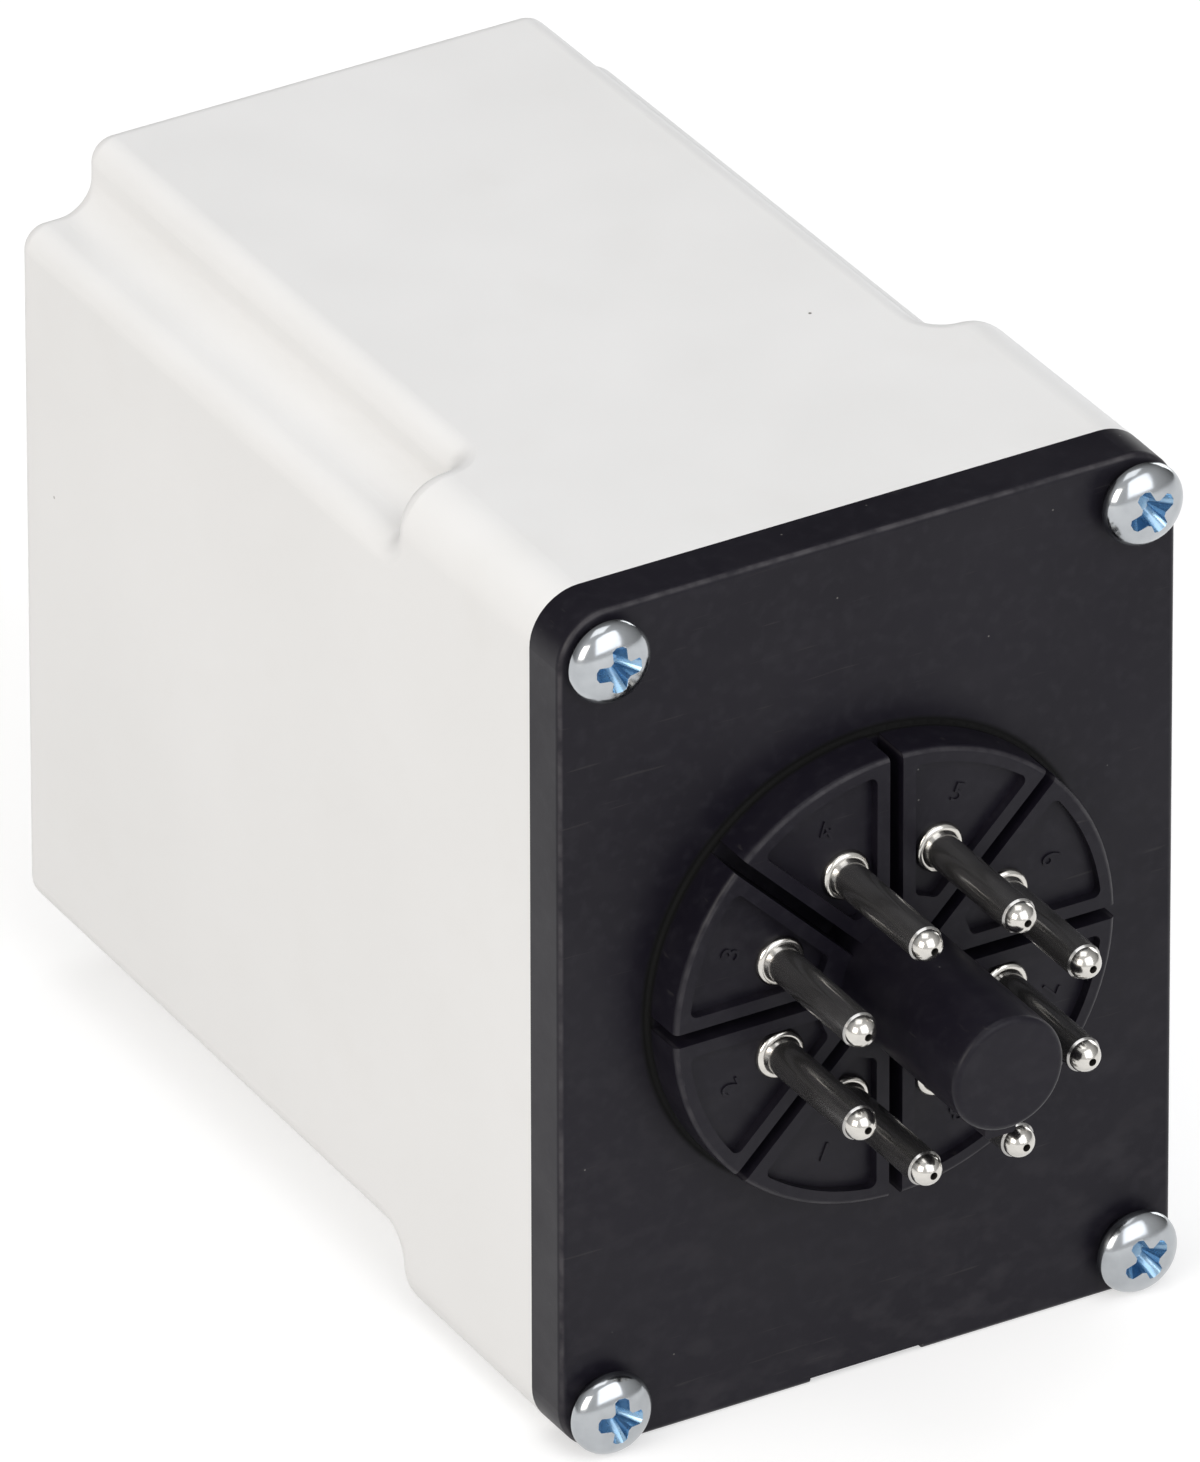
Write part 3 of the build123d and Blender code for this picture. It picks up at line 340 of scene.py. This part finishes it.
# Resistors: a tan body with three plain bands
RESISTOR_TAN = (0.48, 0.34, 0.18)
RESISTOR_BANDS = ((0.4, (0.03, 0.02, 0.01)), (1.6, (0.4, 0.02, 0.01)), (2.8, (0.45, 0.16, 0.01)))
BAND_FADE = (0.3, 0.25)
looks["resistor_body"], tree, bsdf = surface("resistor_body", RESISTOR_TAN, roughness=0.40)
tone = remap(tree, noise(tree, 1.0), *NOISE_RANGE)
link(tree, mix(tree, tone, RESISTOR_TAN, (0.53, 0.38, 0.21)), bsdf.inputs["Base Color"])
along = axes(tree)["Z"]
lay_over(tree, bsdf, [(remap(tree, away_from(tree, along, middle), *BAND_FADE), tone)
                      for middle, tone in RESISTOR_BANDS])

for entry in frame["record"]["subparts"]:
    mesh = nodes[entry["node"]].data
    mesh.materials.clear()
    mesh.materials.append(looks[entry["material_slot"]])

# Painted shade: the faces inside the small hole in each pin's tip take the dark hole_shadow
# material
HOLE_RADIUS = 0.27
HOLE_DEPTH = 0.3
for number in PIN_NUMBERS:
    low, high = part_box(f"pin_{number}")
    axis = (low + high) / 2
    mesh = nodes[f"pin_{number}"].data
    mesh.materials.append(hole_shadow)
    for face in mesh.polygons:
        gap = Vector((face.center.x - axis.x, face.center.z - axis.z)).length
        if gap < HOLE_RADIUS * MM and face.center.y < (SHAFT_START + HOLE_DEPTH) * MM:
            face.material_index = 1


# Pieces that Blender adds
def add_object(name, data):
    made = bpy.data.objects.new(name, data)
    bpy.context.scene.collection.objects.link(made)
    return made


def new_piece(name, mesh, look):
    """A piece of the dressed part, with its look."""
    piece = add_object(name, mesh)
    mesh.materials.append(look)
    return piece


def mesh_from(name, points, faces):
    mesh = bpy.data.meshes.new(name)
    mesh.from_pydata([Vector(p) * MM for p in points], [], faces)
    mesh.update()
    return mesh


def face_outward(mesh):
    """Turns the faces of a closed mesh outward."""
    fix = bmesh.new()
    fix.from_mesh(mesh)
    bmesh.ops.recalc_face_normals(fix, faces=fix.faces)
    fix.to_mesh(mesh)
    fix.free()


def work_in_modifiers(piece):
    """Gives the piece the mesh that its modifiers make of it, and takes them off."""
    bpy.context.view_layer.update()
    evaluated = piece.evaluated_get(bpy.context.evaluated_depsgraph_get())
    mesh = bpy.data.meshes.new_from_object(evaluated)
    piece.modifiers.clear()
    old = piece.data
    piece.data = mesh
    bpy.data.meshes.remove(old)


def smooth_by_angle(mesh, limit):
    """Smooth shading, with edges sharper than the limit in degrees kept crisp."""
    for face in mesh.polygons:
        face.use_smooth = True
    mesh.set_sharp_from_angle(angle=radians(limit))


def turned(name, profile, centre, steps=64):
    """A closed mesh turned round an axis along Y, from (radius, y) points that end on the axis."""
    points, faces = [], []
    ring_start = []
    for radius, y in profile:
        ring_start.append(len(points))
        count = 1 if radius == 0 else steps
        for i in range(count):
            angle = 2 * pi * i / steps
            points.append((centre[0] + radius * cos(angle), y, centre[1] + radius * sin(angle)))
    for k in range(len(profile) - 1):
        a, b = ring_start[k], ring_start[k + 1]
        for i in range(steps):
            j = (i + 1) % steps
            if profile[k][0] == 0:
                faces.append((a, b + i, b + j))
            elif profile[k + 1][0] == 0:
                faces.append((a + i, b, a + j))
            else:
                faces.append((a + i, b + i, b + j, a + j))
    mesh = mesh_from(name, points, faces)
    face_outward(mesh)
    return mesh


# Screws: a pan head with an elliptic crown over an undercut side, and a tapered cross recess
HEAD_HEIGHT = 2.4
HEAD_TOP = PLATE_FRONT - HEAD_HEIGHT
CROWN_RADIUS = 2.82
CROWN_STEPS = 18
RIM_HEIGHT = 0.95
RIM_BAND = 0.14
UNDERCUT_LIP_WIDTH, UNDERCUT_LIP_DEPTH = 0.1, 0.12
SEAT_RADIUS = 2.3
SHANK_RADIUS = 1.42
SHANK_END = screws_high.y
POINT_LENGTH, POINT_NARROWING = 1.2, 0.6

RECESS_REACH = 1.72
RECESS_HALF = 0.50
RECESS_DEPTH = 1.7
RECESS_EDGE = 0.04
RECESS_EDGE_ANGLE = 50
CRISP_ANGLE = 32

# Recess levels from over the head down: y, a wing's reach, its half width, the inner corner's cut
RECESS_LEVELS = (
    (HEAD_TOP - 0.5, RECESS_REACH + 0.2, RECESS_HALF + 0.04, 0.22),
    (HEAD_TOP + 0.25, RECESS_REACH - 0.12, RECESS_HALF, 0.20),
    (HEAD_TOP + RECESS_DEPTH, 0.62, RECESS_HALF * 0.62, 0.06),
)
# Shares of a wing's half width: how far back its shoulder is from its tip, and how wide the tip is
WING_SHOULDER, WING_TIP = 0.4, 0.45

# Turn of the cross in degrees, for the screw on each side in X and in Z
RECESS_TURNS = {(-1, 1): 0, (1, 1): 26, (-1, -1): -3, (1, -1): 29}


def head_profile():
    """From the top of the crown, over the rim and its undercut, down the shank to its point."""
    crown = HEAD_HEIGHT - RIM_HEIGHT
    band_end = PLATE_FRONT - RIM_HEIGHT + RIM_BAND
    profile = [(0, HEAD_TOP)]
    for i in range(1, CROWN_STEPS + 1):
        angle = pi / 2 * i / CROWN_STEPS
        profile.append((CROWN_RADIUS * sin(angle), HEAD_TOP + crown * (1 - cos(angle))))
    return profile + [
        (CROWN_RADIUS, band_end),
        (CROWN_RADIUS - UNDERCUT_LIP_WIDTH, band_end + UNDERCUT_LIP_DEPTH),
        (SEAT_RADIUS, PLATE_FRONT),
        (SHANK_RADIUS, PLATE_FRONT),
        (SHANK_RADIUS, SHANK_END - POINT_LENGTH),
        (SHANK_RADIUS - POINT_NARROWING, SHANK_END),
        (0, SHANK_END),
    ]


def cross_outline(reach, half, corner):
    """A cross with cut inner corners and narrower tips, as (across, up) points."""
    shoulder, tip = reach - half * WING_SHOULDER, half * WING_TIP
    wing = [(half, half + corner), (half, shoulder), (tip, reach),
            (-tip, reach), (-half, shoulder), (-half, half + corner)]
    outline = []
    for quarter in range(4):
        c, s = cos(quarter * pi / 2), sin(quarter * pi / 2)
        outline += [(across * c - up * s, across * s + up * c) for across, up in wing]
    return outline


def recess_cutter(centre, turn):
    """A closed cross-shaped plug that narrows with depth."""
    points, faces = [], []
    rings = []
    for y, reach, half, corner in RECESS_LEVELS:
        ring = []
        for across, up in cross_outline(reach, half, corner):
            x = across * cos(turn) - up * sin(turn)
            z = across * sin(turn) + up * cos(turn)
            ring.append(len(points))
            points.append((centre[0] + x, y, centre[1] + z))
        rings.append(ring)
    count = len(rings[0])
    for low, high in zip(rings, rings[1:]):
        for i in range(count):
            j = (i + 1) % count
            faces.append((low[i], low[j], high[j], high[i]))
    faces.append(tuple(reversed(rings[0])))
    faces.append(tuple(rings[-1]))
    mesh = mesh_from("recess_cutter", points, faces)
    for face in mesh.polygons:
        face.material_index = 1
    face_outward(mesh)
    return mesh


for (side_x, side_z), turn in RECESS_TURNS.items():
    centre = (side_x * SCREW_X, side_z * SCREW_Z)
    name = "screw_" + ("l" if side_x < 0 else "r") + ("t" if side_z > 0 else "b")
    piece = new_piece(name, turned(name, head_profile(), centre), zinc)
    piece.data.materials.append(zinc_recess)
    cutter = add_object("cutter", recess_cutter(centre, radians(turn)))
    cutter.data.materials.append(zinc)
    cutter.data.materials.append(zinc_recess)
    cut = piece.modifiers.new("recess", "BOOLEAN")
    cut.operation = "DIFFERENCE"
    cut.object = cutter
    cut.solver = "EXACT"
    edge = piece.modifiers.new("recess_edge", "BEVEL")
    edge.width = RECESS_EDGE * MM
    edge.segments = 2
    edge.limit_method = "ANGLE"
    edge.angle_limit = radians(RECESS_EDGE_ANGLE)
    edge.material = 0
    work_in_modifiers(piece)
    bpy.data.objects.remove(cutter)
    smooth_by_angle(piece.data, CRISP_ANGLE)
    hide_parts("base_screws")
    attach(piece, "housing")

# Pin numbers, raised a little on the floors of the pockets, their heads away from the post
NUMBER_RADIUS = 12.4
NUMBER_HEIGHT = 1.9
NUMBER_RAISE = 0.12
NUMBER_BASE = POCKET_FLOOR - NUMBER_RAISE / 2
for number in PIN_NUMBERS:
    low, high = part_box(f"pin_{number}")
    middle = (low + high) / 2
    angle = atan2(middle.z, middle.x)
    text = bpy.data.curves.new(f"number_{number}", "FONT")
    text.body = str(number)
    text.align_x, text.align_y = "CENTER", "CENTER"
    text.size = NUMBER_HEIGHT * MM
    text.extrude = NUMBER_RAISE / 2 * MM
    text.resolution_u = 4
    lettering = add_object(f"number_{number}", text)
    mesh = bpy.data.meshes.new_from_object(lettering)
    bpy.data.objects.remove(lettering)
    up = Vector((cos(angle), 0, sin(angle)))
    out = Vector((0, -1, 0))
    turn = Matrix((up.cross(out), up, out)).transposed().to_4x4()
    place = Vector((NUMBER_RADIUS * cos(angle), NUMBER_BASE, NUMBER_RADIUS * sin(angle))) * MM
    mesh.transform(Matrix.Translation(place) @ turn)
    piece = new_piece(f"number_{number}", mesh, black)
    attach(piece, "housing")

# Floor: plain, pale and matt. The camera and reflections see it lifted, and it keeps the shadow
FLOOR_HALF = 6000
FLOOR_GAP = 0.02
FLOOR_TONE = 0.60
FLOOR_LIFT = 0.50
floor_corners = [(x * FLOOR_HALF, y * FLOOR_HALF, cad_low.z / MM - FLOOR_GAP)
                 for x, y in ((-1, -1), (1, -1), (1, 1), (-1, 1))]
floor_mesh = mesh_from("floor", floor_corners, [(0, 1, 2, 3)])
floor = add_object("floor", floor_mesh)
floor_look, tree, bsdf = surface("floor", (FLOOR_TONE,) * 3, roughness=0.85,
                                 Specular_IOR_Level=0.0)
rays = add_node(tree, "LightPath").outputs
seen = maths(tree, "MAXIMUM", rays["Is Camera Ray"], rays["Is Glossy Ray"])
seen = maths(tree, "MAXIMUM", seen, rays["Is Transmission Ray"])
lift_strength = maths(tree, "MULTIPLY", seen, FLOOR_LIFT)
lift = add_node(tree, "Emission", {"Color": (1, 1, 1, 1), "Strength": lift_strength})
total = add_node(tree, "AddShader", {0: bsdf.outputs[0], 1: lift.outputs[0]})
link(tree, total.outputs[0], tree.nodes["Material Output"].inputs["Surface"])
floor_mesh.materials.append(floor_look)
floor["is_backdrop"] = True

# World: a studio that is pale in front and above, and dimmer behind
BRIGHT_SIDE = (-0.35, -0.80, 0.50)
DIM, BRIGHT = 0.05, 0.72
world = bpy.data.worlds.new("studio")
bpy.context.scene.world = world
world.use_nodes = True
tree = world.node_tree
direction = {0: add_node(tree, "TexCoord").outputs["Generated"], 1: BRIGHT_SIDE}
facing = add_node(tree, "VectorMath", direction, operation="DOT_PRODUCT").outputs["Value"]
background = tree.nodes["Background"]
link(tree, remap(tree, facing, -0.6, 0.7, DIM, BRIGHT), background.inputs["Strength"])
background.inputs["Color"].default_value = (1, 1, 1, 1)


def softbox(name, place, size, power, colour=(1.0, 1.0, 1.0)):
    """A square lamp that faces the middle of the part, with its size in metres and its watts."""
    lamp = bpy.data.lights.new(name, "AREA")
    lamp.shape = "SQUARE"
    lamp.size = size
    lamp.energy = power
    lamp.color = colour
    made = add_object(name, lamp)
    made.location = place
    made.rotation_mode = "QUATERNION"
    aim = (cad_low + cad_high) / 2 - Vector(place)
    made.rotation_quaternion = aim.to_track_quat("-Z", "Y")


softbox("left", (-0.85, -0.35, 0.42), size=0.55, power=4.3, colour=(1.0, 0.945, 0.875))
softbox("top", (-0.10, 0.10, 1.05), size=0.70, power=2.1)
softbox("front", (0.09, -0.85, 0.58), size=0.95, power=5.2, colour=(0.96, 0.97, 1.0))
softbox("rear", (0.95, 0.60, 0.25), size=0.50, power=2.0)

# Camera, at the photograph's view, placed by the middle of the plug on the plate's front face
VIEW_TURN = radians(30.211)
VIEW_TILT = radians(30.394)
VIEW_ROLL = radians(0.127)
VIEW_DISTANCE = 2.01385
FOCAL_PIXELS = 32512.5
IMAGE_WIDTH, IMAGE_HEIGHT = 1200, 1462
PLUG_PIXEL_X, PLUG_PIXEL_Y = 867.73, 953.30
PIXELS_PER_MM = 16.1445
SENSOR = 36.0

right = Vector((cos(VIEW_TURN), -sin(VIEW_TURN), 0))
forward = Vector((sin(VIEW_TURN) * cos(VIEW_TILT), cos(VIEW_TURN) * cos(VIEW_TILT),
                  -sin(VIEW_TILT)))
up = right.cross(forward)
offset_right = (PLUG_PIXEL_X - IMAGE_WIDTH / 2) / PIXELS_PER_MM * MM
offset_up = -(PLUG_PIXEL_Y - IMAGE_HEIGHT / 2) / PIXELS_PER_MM * MM
aim = Vector((0, PLATE_FRONT * MM, 0)) - right * offset_right - up * offset_up
camera_data = bpy.data.cameras.new("camera")
camera_data.sensor_width = SENSOR
camera_data.lens = FOCAL_PIXELS * SENSOR / IMAGE_HEIGHT
camera_data.clip_start, camera_data.clip_end = 0.1, 50
camera = add_object("camera", camera_data)
turn = Matrix((right, up, -forward)).transposed() @ Matrix.Rotation(-VIEW_ROLL, 3, "Z")
camera.matrix_world = Matrix.Translation(aim - forward * VIEW_DISTANCE) @ turn.to_4x4()
bpy.context.scene.camera = camera

bpy.context.scene.view_settings.view_transform = "Standard"

low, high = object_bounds()
